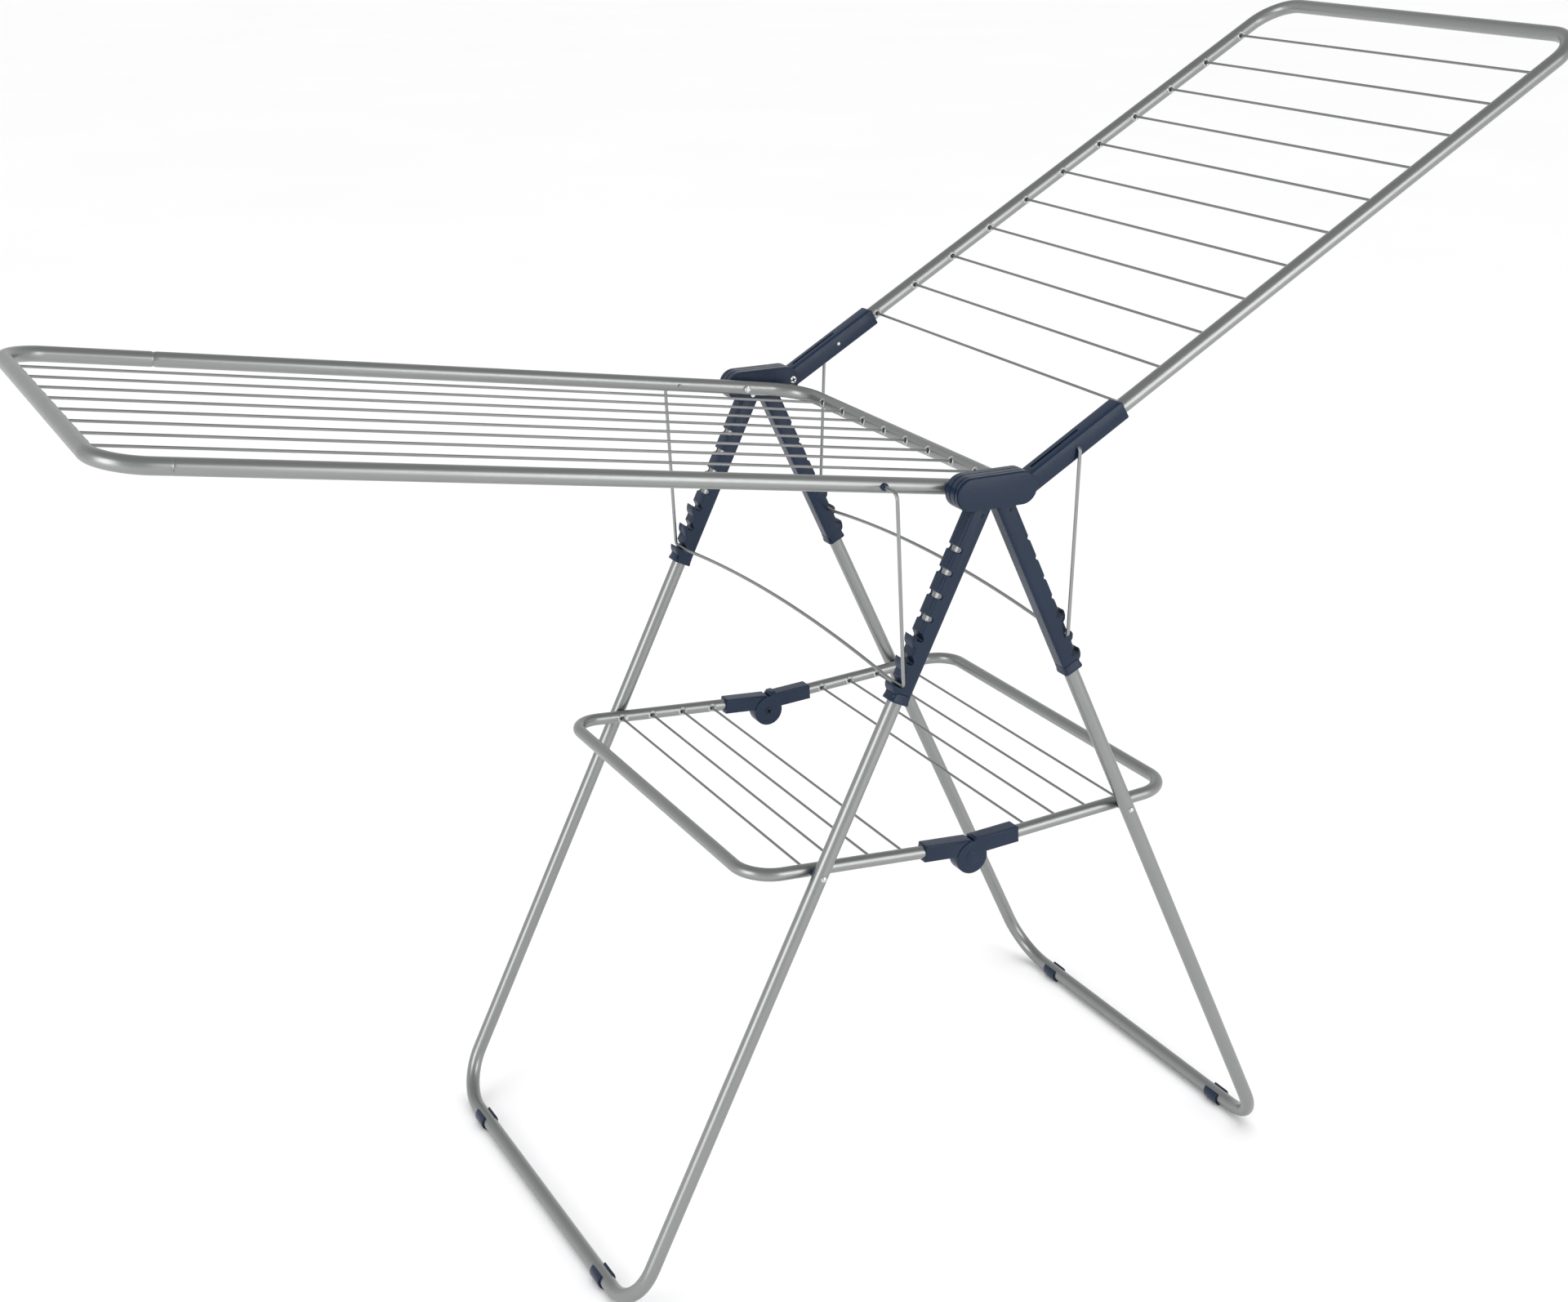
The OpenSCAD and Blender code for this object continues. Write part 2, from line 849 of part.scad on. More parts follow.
module knuckle_right(f) {
    color(navy) across(f) difference() {
        union() {
            difference() {
                on_shelf(1) union() {
                    knuckle_box(knuckle_len);
                    translate([5, kn_y - 5, kn_top - 0.5]) cube([9, 5 + kn_h, 3]);
                }
                middle() translate([0, 0, pin_z]) rod_y(2 * knuckle_r + 1, kn_y - tongue_y / 2 - 0.3, kn_y + tongue_y / 2 + 0.3);
            }
            middle() translate([0, 0, pin_z]) {
                rod_y(2 * knuckle_r, kn_y - kn_h, kn_y - tongue_y / 2 - 0.3);
                rod_y(2 * knuckle_r, kn_y + tongue_y / 2 + 0.3, kn_y + kn_h);
            }
        }
        on_shelf(1) translate([0, shelf_half, 0]) rod_x(shelf_d, shelf_start, 80);
        middle() translate([0, 0, pin_z]) {
            rod_y(7, 250, 280);
        }
    }
}

module knuckle_left_near() {
    knuckle_left(-1);
}

module knuckle_left_far() {
    knuckle_left(1);
}

module knuckle_right_near() {
    knuckle_right(-1);
}

module knuckle_right_far() {
    knuckle_right(1);
}

module knuckle_pins() {
    color(navy) for (f = [-1, 1]) {
        middle() across(f) translate([0, 0, pin_z]) difference() {
            rod_y(7, kn_y - kn_h - 0.6, kn_y + kn_h - 1);
            for (a = [0, 90]) {
                rotate([0, a + 20, 0]) translate([-2.6, kn_y - kn_h - 1, -0.6]) cube([5.2, 1.6, 1.2]);
            }
        }
    }
}

module knuckle_caps() {
    color(navy) for (f = [-1, 1]) {
        middle() across(f) translate([0, 0, pin_z]) {
            rod_y(20, kn_y + kn_h, kn_y + kn_h + 0.6);
            rod_y(17, kn_y + kn_h + 0.6, kn_y + kn_h + 0.9);
            rod_y(7, kn_y + kn_h - 1, kn_y + kn_h);
        }
    }
}

// ---- nodes ----

hub_cap_near();
hub_cap_far();
hub_core_near();
hub_core_far();
hub_plate_near();
hub_plate_far();
leg_pins();
wing_left_bolts();
wing_right_pins();
leg_tube_left();
leg_tube_right();
sleeve_left_near();
sleeve_left_far();
sleeve_right_near();
sleeve_right_far();
sleeve_rivets_left();
sleeve_rivets_right();
foot_clip_left_near();
foot_clip_left_far();
foot_clip_right_near();
foot_clip_right_far();
shelf_rivets_left();
shelf_rivets_right();
shelf_spacers_left();
shelf_spacers_right();
wing_left_outer_tube();
wing_left_inner_tube();
wing_left_wires();
wing_left_grommets();
prop_left();
wing_right_tube();
wing_right_arm_near();
wing_right_arm_far();
wing_right_rivets();
wing_right_wires();
prop_right();
shelf_left_tube();
shelf_right_tube();
shelf_left_wires();
shelf_right_wires();
shelf_rivet_heads();
knuckle_left_near();
knuckle_left_far();
knuckle_right_near();
knuckle_right_far();
knuckle_pins();
knuckle_caps();
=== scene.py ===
import json
import math
import bpy
from mathutils import Matrix, Vector


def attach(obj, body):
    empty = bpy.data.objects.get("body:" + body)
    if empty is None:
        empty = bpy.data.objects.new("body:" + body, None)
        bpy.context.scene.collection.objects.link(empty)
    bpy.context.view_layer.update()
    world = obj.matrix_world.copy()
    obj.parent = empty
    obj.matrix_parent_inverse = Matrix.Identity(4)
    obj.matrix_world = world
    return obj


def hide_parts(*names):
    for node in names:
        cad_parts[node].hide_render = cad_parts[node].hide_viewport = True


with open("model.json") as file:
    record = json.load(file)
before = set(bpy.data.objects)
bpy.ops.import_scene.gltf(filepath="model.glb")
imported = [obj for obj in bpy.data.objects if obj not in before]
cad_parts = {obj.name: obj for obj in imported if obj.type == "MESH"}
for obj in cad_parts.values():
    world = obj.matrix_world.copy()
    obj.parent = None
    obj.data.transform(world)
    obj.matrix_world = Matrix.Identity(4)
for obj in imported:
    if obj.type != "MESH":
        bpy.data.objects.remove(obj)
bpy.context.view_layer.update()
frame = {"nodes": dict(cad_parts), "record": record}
nodes = frame["nodes"]

# ---------------------------------------------------------------- dimensions, mm
# WL is the left wing, WR the right wing, SH a shelf half and KN its knuckle. OUT and IN are reaches from
# the hinge, HALF is half the width between the rails, BEND the radius of a corner and A an angle.
X0 = 67.0752418
TUBE_R, SHELF_R, WIRE_R, PROP_R = 9.0, 7.75, 1.6, 2.1
CLIP_R, CLIP_Y, CLIP_HALF = 11.5, 197, 13
LEG_LEN, LEG_HALF, LEG_BEND, LEG_A = 1020.0, 286.0, 60.0, math.radians(25.5)
PIVOT_Z = LEG_LEN * math.cos(LEG_A) + CLIP_R
GAP = 13.0
WL_X, WL_Z, WL_A = -31.0, PIVOT_Z + 13.9, math.radians(8.7)
WL_OUT, WL_IN, WL_HALF, WL_BEND = 930.0, 83.0, 263.0, 50.0
WL_JOINT_NEAR, WL_JOINT_FAR = 861.0, 760.0
WL_WIRES, WL_PITCH = 8, 53
WR_X, WR_Z, WR_A = 46.0, PIVOT_Z + 14.3, math.radians(30.3)
WR_OUT, WR_BEND = 892.0, 50.0
WR_WIRES, WR_FIRST, WR_PITCH = 11, 149, 66.5
ARM_R, ARM_END, ARM_HALF = 12, 143, 11
SH_A = math.radians(3.8)
SH_T = 457.2
SH_X = GAP + SH_T * math.sin(LEG_A)
SH_Z0 = PIVOT_Z - SH_T * math.cos(LEG_A) - SH_X * math.tan(SH_A)
SH_OUT, SH_HALF, SH_BEND = 288.4, 265.0, 40.0
SH_WIRES, SH_FIRST, SH_PITCH = 4, 84, 44
KN_Y, KN_HALF, KN_TOP, KN_END = 264.0, 9.9, 10.0, 64
KN_DISC, KN_HOLLOW, KN_EDGE = 20.5, 21, 1.5
PIN_DROP = 12.8
PIN_S, PIN_N = -PIN_DROP * math.sin(SH_A), -PIN_DROP * math.cos(SH_A)
SLEEVE_R, SLEEVE_LEN, SLEEVE_HALF, SLEEVE_EDGE = 11.25, 241, 11, 3.2
SEATS, NOTCHES, PITCH, LAST = 3, 4, 27.7, 220.7
SEAT_OFF, SEAT_R, NOTCH_R = 7, 3, 3.25
HUB_X, HUB_Z, HUB_W, HUB_H = 2.0, PIVOT_Z + 12.9, 102.4, 37.4


def P(x, y, z):
    """A place of the unfolded rack, in mm from the floor under its middle, in the frame's metres."""
    return Vector(((x + X0) / 1000, y / 1000, z / 1000))


def across(y):
    """A step of y mm across the rack."""
    return Vector((0, y / 1000, 0))


def leg(s):
    """Point of a leg frame: outboard of the axis, across, down the leg."""
    return lambda off, y, t: P(
        s * (GAP + t * math.sin(LEG_A) + off * math.cos(LEG_A)), y,
        PIVOT_Z - t * math.cos(LEG_A) + off * math.sin(LEG_A))


def wing_left(s, y, n):
    """Point of the left wing: out from the hinge, across, up from the wing's plane."""
    return P(WL_X - s * math.cos(WL_A) + n * math.sin(WL_A), y,
             WL_Z + s * math.sin(WL_A) + n * math.cos(WL_A))


def wing_right(s, y, n):
    """Point of the right wing, as for the left one."""
    return P(WR_X + s * math.cos(WR_A) - n * math.sin(WR_A), y,
             WR_Z + s * math.sin(WR_A) + n * math.cos(WR_A))


def shelf(side):
    """Point of a shelf half: out from the middle of the rack, across, up from the half's plane."""
    return lambda s, y, n: P(side * (s * math.cos(SH_A) - n * math.sin(SH_A)), y,
                             SH_Z0 + s * math.sin(SH_A) + n * math.cos(SH_A))


# ---------------------------------------------------------------- materials
def tree(name):
    m = bpy.data.materials.new(name)
    m.use_nodes = True
    n = m.node_tree.nodes
    return m, n, m.node_tree.links, n["Principled BSDF"]


def noise(n, l, scale, detail=3.0):
    co = n.new("ShaderNodeTexCoord")
    t = n.new("ShaderNodeTexNoise")
    t.inputs["Scale"].default_value = scale
    t.inputs["Detail"].default_value = detail
    l.new(co.outputs["Object"], t.inputs["Vector"])
    return t


def ramp(n, l, src, lo, hi):
    r = n.new("ShaderNodeValToRGB")
    r.color_ramp.elements[0].position = 0.3
    r.color_ramp.elements[1].position = 0.7
    r.color_ramp.elements[0].color = lo
    r.color_ramp.elements[1].color = hi
    l.new(src, r.inputs["Fac"])
    return r


def surface(name, lo, hi, metallic, rough, grain, bump, bevel=0.0, spec=0.5):
    """Base colour between lo and hi, roughness between the two values, with a fine grain.

    A bevel, in metres, softens the edges in the shading.
    """
    m, n, l, b = tree(name)
    wide = noise(n, l, 14.0)
    c = ramp(n, l, wide.outputs["Fac"], (*lo, 1), (*hi, 1))
    l.new(c.outputs["Color"], b.inputs["Base Color"])
    mid = noise(n, l, 90.0, 4.0)
    r = ramp(n, l, mid.outputs["Fac"], (rough[0],) * 3 + (1,), (rough[1],) * 3 + (1,))
    l.new(r.outputs["Color"], b.inputs["Roughness"])
    fine = noise(n, l, grain, 2.0)
    bp = n.new("ShaderNodeBump")
    bp.inputs["Strength"].default_value = bump
    bp.inputs["Distance"].default_value = 0.0002
    l.new(fine.outputs["Fac"], bp.inputs["Height"])
    if bevel:
        bv = n.new("ShaderNodeBevel")
        bv.samples = 4
        bv.inputs["Radius"].default_value = bevel
        l.new(bv.outputs["Normal"], bp.inputs["Normal"])
    l.new(bp.outputs["Normal"], b.inputs["Normal"])
    b.inputs["Metallic"].default_value = metallic
    b.inputs["Specular IOR Level"].default_value = spec
    return m


TUBE = surface("tube_coating", (0.276, 0.282, 0.278), (0.286, 0.292, 0.288),
               metallic=0.92, rough=(0.32, 0.35), grain=1400, bump=0.008)
WIRE = surface("drying_wire", (0.225, 0.228, 0.226), (0.245, 0.248, 0.246),
               metallic=0.85, rough=(0.36, 0.42), grain=1800, bump=0.02)
PROP = surface("prop_wire", (0.268, 0.273, 0.271), (0.284, 0.289, 0.287),
               metallic=0.90, rough=(0.32, 0.36), grain=1800, bump=0.01)
NAVY = surface("navy_plastic", (0.0055, 0.0155, 0.037), (0.0065, 0.0175, 0.041),
               metallic=0.0, rough=(0.25, 0.32), grain=2600, bump=0.03, bevel=0.0006, spec=0.28)
ZINC = surface("zinc_fasteners", (0.50, 0.51, 0.50), (0.60, 0.61, 0.60),
               metallic=1.0, rough=(0.20, 0.30), grain=900, bump=0.05, bevel=0.0003)
# Painted shade: a near-black material for flat discs over the wire holes and bars on the screw heads,
# standing in for the shade inside them.
PAINTED_SHADE = surface("hole_shadow", (0.006, 0.007, 0.008), (0.010, 0.011, 0.012),
               metallic=0.0, rough=(0.8, 0.9), grain=1200, bump=0.05, spec=0.03)
MATS = {"tube_coating": TUBE, "drying_wire": WIRE, "prop_wire": PROP, "navy_plastic": NAVY,
        "zinc_fasteners": ZINC}
SLOTS = {p["node"]: p["material_slot"] for p in frame["record"]["subparts"]}
for name, o in nodes.items():
    o.data.materials.clear()
    o.data.materials.append(MATS[SLOTS[name]])


# ---------------------------------------------------------------- mesh building
def piece(name, verts, faces, mats, body, replaces, face_mats, angle):
    """Makes one visible piece; edges sharper than angle, in degrees, stay sharp."""
    me = bpy.data.meshes.new(name)
    me.from_pydata([tuple(v) for v in verts], [], faces)
    for m in mats:
        me.materials.append(m)
    me.polygons.foreach_set("material_index", face_mats)
    me.validate()
    me.shade_smooth()
    me.set_sharp_from_angle(angle=math.radians(angle))
    me.update()
    o = bpy.data.objects.new(name, me)
    bpy.context.scene.collection.objects.link(o)
    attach(o, body)
    if replaces:
        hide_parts(*replaces)


class Build:
    """Collects parts of one piece; each part may use its own material of the piece's list."""

    def __init__(self):
        self.v, self.f, self.m = [], [], []

    def loft(self, rings, mat=0, caps=(True, True), flip=False):
        """Skin over rings with the same number of points."""
        n, k = len(rings[0]), len(self.v)
        faces = []
        for i in range(len(rings) - 1):
            for j in range(n):
                a, b = i * n + j, i * n + (j + 1) % n
                faces.append((a, b, b + n, a + n))
        if caps[0]:
            faces.append(tuple(range(n - 1, -1, -1)))
        if caps[1]:
            faces.append(tuple(range((len(rings) - 1) * n, len(rings) * n)))
        if flip:
            faces = [tuple(reversed(f)) for f in faces]
        self.v += [p for r in rings for p in r]
        self.f += [tuple(i + k for i in f) for f in faces]
        self.m += [mat] * len(faces)

    def sweep(self, pts, radii, seg):
        """A round bar along a path, with one radius or a list of them."""
        if not isinstance(radii, list):
            radii = [radii] * len(pts)
        tangents = []
        for i in range(len(pts)):
            a, b = pts[max(i - 1, 0)], pts[min(i + 1, len(pts) - 1)]
            tangents.append((b - a).normalized())
        up = Vector((0, 0, 1)) if abs(tangents[0].z) < 0.9 else Vector((0, 1, 0))
        u = tangents[0].cross(up).normalized()
        rings = []
        for p, t, r in zip(pts, tangents, radii):
            u = (u - t * u.dot(t)).normalized()
            w = t.cross(u)
            rings.append([p + (u * math.cos(a) + w * math.sin(a)) * (r / 1000)
                          for a in (2 * math.pi * k / seg for k in range(seg))])
        self.loft(rings)

    def turned(self, centre, f, profile, seg):
        """A round part on an axis across the rack, from (distance, radius) pairs; f picks the side."""
        self.sweep([centre + across(f * y) for y, _ in profile], [r for _, r in profile], seg)

    def wire(self, a, c):
        self.sweep([a, c], WIRE_R, 20)

    def make(self, name, mats, body, replaces=(), angle=38):
        piece(name, self.v, self.f, mats, body, replaces, self.m, angle)


def stack(b, place, outline, y0, y1, r0, r1, shrink, extra=()):
    """Extrudes an outline across the rack between y0 and y1 and rounds its two faces by r0 and r1.

    The outline is a list of points or a function of y that gives one, shrink moves it inwards, and
    extra holds outlines at depths in between.
    """
    shape = outline if callable(outline) else (lambda y: outline)
    turns = [math.pi / 2 * k / 4 for k in range(5)]
    levels = []
    if r0:
        levels += [(y0 + r0 * (1 - math.cos(a)), r0 * (1 - math.sin(a)), None) for a in turns]
    else:
        levels.append((y0, 0, None))
    levels += [(y, 0, o) for y, o in extra]
    if r1:
        levels += [(y1 - r1 * (1 - math.cos(a)), r1 * (1 - math.sin(a)), None) for a in reversed(turns)]
    else:
        levels.append((y1, 0, None))
    rings = [[place(u, y, v) for u, v in shrink(o or shape(y), d)] for y, d, o in levels]
    area = sum(a.x * c.z - c.x * a.z for a, c in zip(rings[0], rings[0][1:] + rings[0][:1]))
    b.loft(rings, flip=area < 0)


def inset(outline, d):
    """Moves every side of an outline inwards by d."""
    if d == 0:
        return outline
    area = sum(p[0] * q[1] - q[0] * p[1] for p, q in zip(outline, outline[1:] + outline[:1]))
    sg = 1 if area > 0 else -1
    n = len(outline)
    out = []
    for i in range(n):
        p, q, r = (Vector(outline[(i + k) % n]) for k in (-1, 0, 1))
        a, c = (q - p), (r - q)
        na = Vector((-a.y, a.x)).normalized() if a.length > 1e-6 else None
        nc = Vector((-c.y, c.x)).normalized() if c.length > 1e-6 else None
        na = na or nc or Vector((0, 0))
        nc = nc or na
        m = na + nc
        m = m / max(m.length_squared / 2, 0.6)
        out.append(tuple(q + m * d * sg))
    return out


def arc(cx, cy, r, a0, a1, n):
    """Points of an arc between two angles in degrees, in n steps."""
    return [(cx + r * math.cos(math.radians(a0 + (a1 - a0) * k / n)),
             cy + r * math.sin(math.radians(a0 + (a1 - a0) * k / n))) for k in range(n + 1)]


def u_path(place, s_near, s_far, end, half, r):
    """The axis of a U of tube: near rail, cross bar at end, far rail, with corners of radius r."""
    quarter = [math.pi / 2 * k / 14 for k in range(15)]
    pts = [(s_near, -half), (s_near + (end - r - s_near) * 0.5, -half)]
    pts += [(end - r + r * math.sin(a), -half + r - r * math.cos(a)) for a in quarter]
    pts += [(end, 0)]
    pts += [(end - r + r * math.cos(a), half - r + r * math.sin(a)) for a in quarter]
    pts += [(s_far + (end - r - s_far) * 0.5, half), (s_far, half)]
    return [place(s, y, 0) for s, y in pts]


def eyelet(b, centre, out, along, tube_r):
    """A pressed ridge that follows the tube wall around a wire and its hole.

    The piece's materials are 0 tube, 1 painted shade over the hole and 2 the ridge's crest, in the brighter
    zinc as a painted highlight.
    """
    out, along = out.normalized(), along.normalized()
    side = out.cross(along)

    def ring(r, h):
        pts = []
        for k in range(24):
            a = 2 * math.pi * k / 24
            x, y = r * math.cos(a), r * math.sin(a)
            wall = out * (math.sqrt(tube_r ** 2 - y * y) + h)
            pts.append(centre + (along * x + side * y + wall) / 1000)
        return pts

    hole, crest = WIRE_R + 1.1, WIRE_R + 3.5
    foot = crest - 0.85
    ridge = [(crest + 0.75, -0.2), (crest + 0.5, 0.4), (crest + 0.15, 0.68),
             (crest - 0.2, 0.68), (crest - 0.55, 0.4), (foot, 0.05)]
    # the crest of the ridge takes the brighter zinc material: a painted highlight on the pressed ring
    b.loft([ring(r, h) for r, h in ridge], 2, caps=(False, False))
    b.loft([ring(foot, 0.05), ring(hole + 0.5, 0.05), ring(hole, -0.25)], 0, caps=(False, False))
    # a flat disc in the near-black hole_shadow material over the hole: painted shade inside it
    b.loft([ring(hole + 0.1, 0.07), ring(0.2, 0.07)], 1, caps=(False, True))


def screw_heads(name, mat, body, centre, y, r, rise, turn):
    """Pan heads at both sides of the rack, facing its middle, each with a cross recess shown as painted
    shade.
    """
    b = Build()
    top = y - rise
    for f in (-1, 1):
        b.turned(centre, f, [(y + 0.3, r), (y, r), (y - rise * 0.5, r * 0.94), (y - rise * 0.85, r * 0.78),
                             (top, r * 0.6), (top - 0.01, 0.1)], 32)
        # the cross recess: two near-black bars standing on the head's top, painted shade where the recess
        # would be shaded
        for k in (0, 1):
            a = turn + k * math.pi / 2
            d = Vector((math.cos(a), 0, math.sin(a))) * (r * 0.74 / 1000)
            w = Vector((0, -f, 0)).cross(d.normalized()) * (r * 0.18 / 1000)
            corners = (d + w, w - d, -d - w, d - w)
            b.loft([[centre + across(f * v) + q for q in corners] for v in (top + 0.2, top - 0.05)], 1)
    b.make(name, [mat, PAINTED_SHADE], body)


# ---------------------------------------------------------------- legs
def leg_tube(s, word):
    """The U of tube below the seats, and the stretch of it that shows in the upper notches."""
    pl = leg(s)
    b = Build()
    b.sweep(u_path(lambda t, y, n: pl(0, y, t), 236, 236, LEG_LEN, LEG_HALF, LEG_BEND), TUBE_R, 40)
    for y in (-LEG_HALF, LEG_HALF):
        b.sweep([pl(0, y, 3), pl(0, y, 153)], TUBE_R, 40)
    b.make("leg_tube_" + word + "_look", [TUBE], "leg_" + word, ["leg_tube_" + word])


def hook_outline(t, used):
    """A hooked seat at t down the leg: the one in use has a low lip, the others turn up."""
    o = [(SLEEVE_R, t + 11.5), (14.2, t + 8.4), (15.8, t + 5.2), (16.5, t + 3.0)]
    o += [(16.2, t + 1.7), (15.4, t + 1.6)] if used else [(17.0, t - 1.2), (15.9, t - 1.0)]
    o += [(14.4, t + 2.4), (SEAT_OFF, t + 2.5)]
    turns = [math.radians(22 * k) for k in range(1, 6)]
    o += [(SEAT_OFF - SEAT_R * math.sin(a), t - 0.5 + SEAT_R * math.cos(a)) for a in turns]
    return o + [(5.1, t - 2.8), (10.7, t - 7.1), (SLEEVE_R, t - 7.9)]


def notch_outline(t, inner):
    """An upper notch at t down the leg: a round pocket whose bottom is at inner from the leg's axis."""
    c = inner + NOTCH_R
    mouth = min(SLEEVE_R, max(10.7, c))
    turns = [math.pi * k / 8 for k in range(9)]
    o = [(SLEEVE_R, t + 4.1), (mouth, t + NOTCH_R)]
    o += [(min(SLEEVE_R, c - NOTCH_R * math.sin(a)), t + NOTCH_R * math.cos(a)) for a in turns]
    return o + [(mouth, t - NOTCH_R), (SLEEVE_R, t - 4.1)]


def sleeve_outline(s, y):
    """Side view of a sleeve at one depth; the upper notches run in at a slant."""
    used = 0 if s < 0 else 1
    inner = 4.4 + 0.145 * y if s < 0 else 5.4 - 0.22 * y
    o = [(SLEEVE_R, SLEEVE_LEN), (SLEEVE_R, LAST + 11.5)]
    for i in range(SEATS):
        o += hook_outline(LAST - i * PITCH, i == used)
    for i in range(SEATS, SEATS + NOTCHES):
        o += notch_outline(LAST + 3 - i * PITCH, inner)
    turns = [math.pi * k / 20 for k in range(21)]
    o += [(SLEEVE_R * math.cos(a), -SLEEVE_R * math.sin(a)) for a in turns]
    return o + [(-SLEEVE_R, SLEEVE_LEN)]


def sleeve_shrink(o, d):
    """Moves a sleeve's outline inwards: the round top evenly, the hooks a little, the rest up to a limit."""
    out = []
    lim = SLEEVE_R - d
    for u, t in o:
        if t <= 0:
            k = min(1, lim / math.hypot(u, t))
            out.append((u * k, t * k))
        elif u > SLEEVE_R:
            out.append((u - min(d, 0.9) - (0.6 if d > 2 else 0), t))
        else:
            out.append((max(-lim, min(lim, u)), t))
    return out


def rounded_section(w, h, r):
    o = []
    for cx, cy, a in ((1, 1, 0), (-1, 1, 90), (-1, -1, 180), (1, -1, 270)):
        o += arc(cx * (w / 2 - r), cy * (h / 2 - r), r, a, a + 90, 5)
    return o


def sleeve(s, f, name):
    pl = leg(s)
    b = Build()
    c = f * LEG_HALF
    stack(b, lambda u, y, t: pl(u, c + y, t), lambda y: sleeve_outline(s, y),
          -SLEEVE_HALF, SLEEVE_HALF, SLEEVE_EDGE, SLEEVE_EDGE, sleeve_shrink,
          extra=[(y, sleeve_outline(s, y)) for y in (-5, -2.5, 0, 2.5, 5)])
    # the stepped flange at the lower end stands proud of the sleeve, except on its inner face
    flange = ((229, 22.3, 21.8), (231, 23.3, 22.7), (236.3, 23.3, 22.7), (237.4, 24.6, 23.4),
              (240.6, 24.9, 23.6), (SLEEVE_LEN, 24.3, 23.0))
    rings = []
    for t, w, h in flange:
        depth = h / 2 + 10.9
        rings.append([pl(u, c + f * (h / 2 - depth / 2) + v, t) for u, v in rounded_section(w, depth, 3.6)])
    b.loft(rings, flip=s > 0)
    b.make(name + "_look", [NAVY], "leg_left" if s < 0 else "leg_right", [name], angle=32)


def foot_clip(s, f, name):
    """A clip round the floor bar with a flat foot; the left ones sit turned on the bar."""
    b = Build()
    cx = s * (GAP + LEG_LEN * math.sin(LEG_A))
    here = lambda u, y, v: P(cx + u, f * CLIP_Y + y, CLIP_R + v)
    a0, a1 = (-233, 41) if s < 0 else (-224, 44)
    ring = arc(0, 0, CLIP_R, a0, a1, 44) + arc(0, 0, 9.02, a1, a0, 44)
    stack(b, here, ring, -CLIP_HALF, CLIP_HALF, 0.7, 0.7, inset)
    flat = [(-5, -CLIP_R), (5, -CLIP_R), (5.6, -9.6), (-5.6, -9.6)]
    stack(b, here, flat, 0.4 - CLIP_HALF, CLIP_HALF - 0.4, 0, 0, inset)
    b.make(name + "_look", [NAVY], "leg_left" if s < 0 else "leg_right", [name])


for s, w in ((-1, "left"), (1, "right")):
    leg_tube(s, w)
    for f, g in ((-1, "near"), (1, "far")):
        sleeve(s, f, "sleeve_%s_%s" % (w, g))
        foot_clip(s, f, "foot_clip_%s_%s" % (w, g))


# ---------------------------------------------------------------- hub caps
def stadium(w, h):
    return arc((w - h) / 2, 0, h / 2, -90, 90, 24) + arc((h - w) / 2, 0, h / 2, 90, 270, 24)


def hub_cap(f, word):
    b = Build()
    here = lambda u, y, v: P(HUB_X + u, f * y, HUB_Z + v)
    stack(b, here, stadium(HUB_W, HUB_H), 297.3, 300, 0.2, 1.3, inset)
    b.make("hub_cap_%s_look" % word, [NAVY], "hubs", ["hub_cap_" + word])


hub_cap(-1, "near")
hub_cap(1, "far")


# ---------------------------------------------------------------- left wing
def ended_tube(b, pts, inward, first, last):
    """A tube with worked ends; first and last list (distance into the tube, radius) from either end."""
    path = [(pts[0] + inward * (v / 1000), r) for v, r in first]
    path += [(p, TUBE_R) for p in pts[1:-1]]
    path += [(pts[-1] + inward * (v / 1000), r) for v, r in reversed(last)]
    b.sweep([p for p, _ in path], [r for _, r in path], 40)


def wing_left_ys():
    return [(i - (WL_WIRES - 1) / 2) * WL_PITCH for i in range(WL_WIRES)]


def wing_left_tubes():
    """Two Us of tube that meet on both rails; on the far rail the inner one's narrowed end goes inside."""
    d = Vector(wing_left(1, 0, 0) - wing_left(0, 0, 0)).normalized()
    rounded = [(0, 8.75), (0.4, 8.9), (1.2, TUBE_R), (3, TUBE_R)]
    b = Build()
    ended_tube(b, u_path(wing_left, WL_JOINT_NEAR, WL_JOINT_FAR, WL_OUT, WL_HALF, WL_BEND), d,
               rounded, [(0, 8.3), (0.4, 8.75), (1.2, 8.95), (3, TUBE_R)])
    for y in wing_left_ys():
        eyelet(b, wing_left(WL_OUT, y, 0), -d, across(1000), TUBE_R)
    b.make("wing_left_outer_tube_look", [TUBE, PAINTED_SHADE, ZINC], "wing_left", ["wing_left_outer_tube"])
    b = Build()
    mirrored = lambda s, y, n: wing_left(-s, y, n)
    ended_tube(b, u_path(mirrored, -WL_JOINT_NEAR, -WL_JOINT_FAR, WL_IN, WL_HALF, WL_BEND), -d, rounded,
               [(-10, 7.9), (0, 7.9), (0.6, 8.0), (1.8, 8.45), (3.5, 8.85), (6, TUBE_R)])
    for y in wing_left_ys():
        eyelet(b, wing_left(-WL_IN, y, 0), d, across(1000), TUBE_R)
    crimp_mark(b, wing_left(WL_JOINT_NEAR + 1, -WL_HALF, 0), d)
    b.make("wing_left_inner_tube_look", [TUBE, PAINTED_SHADE, ZINC], "wing_left", ["wing_left_inner_tube"])


def crimp_mark(b, centre, d):
    """A thin raised ring, open on one side, on the outer face of the near joint."""
    middle = centre + Vector((0, -0.0089, -0.0014))
    high, wide = Vector((0, 0, 0.0022)), d * 0.0022
    turns = [math.radians(-70 + 320 * k / 14) for k in range(15)]
    pts = [middle + wide * math.cos(a) * 0.7 + high * math.sin(a) for a in turns]
    b.sweep(pts, [0.1] + [0.34] * 13 + [0.1], 8)


def wing_left_wires():
    b = Build()
    for y in wing_left_ys():
        b.wire(wing_left(-WL_IN + 6, y, 0), wing_left(WL_OUT - 6, y, 0))
    b.make("wing_left_wires_look", [WIRE], "wing_left", ["wing_left_wires"])


wing_left_tubes()
wing_left_wires()


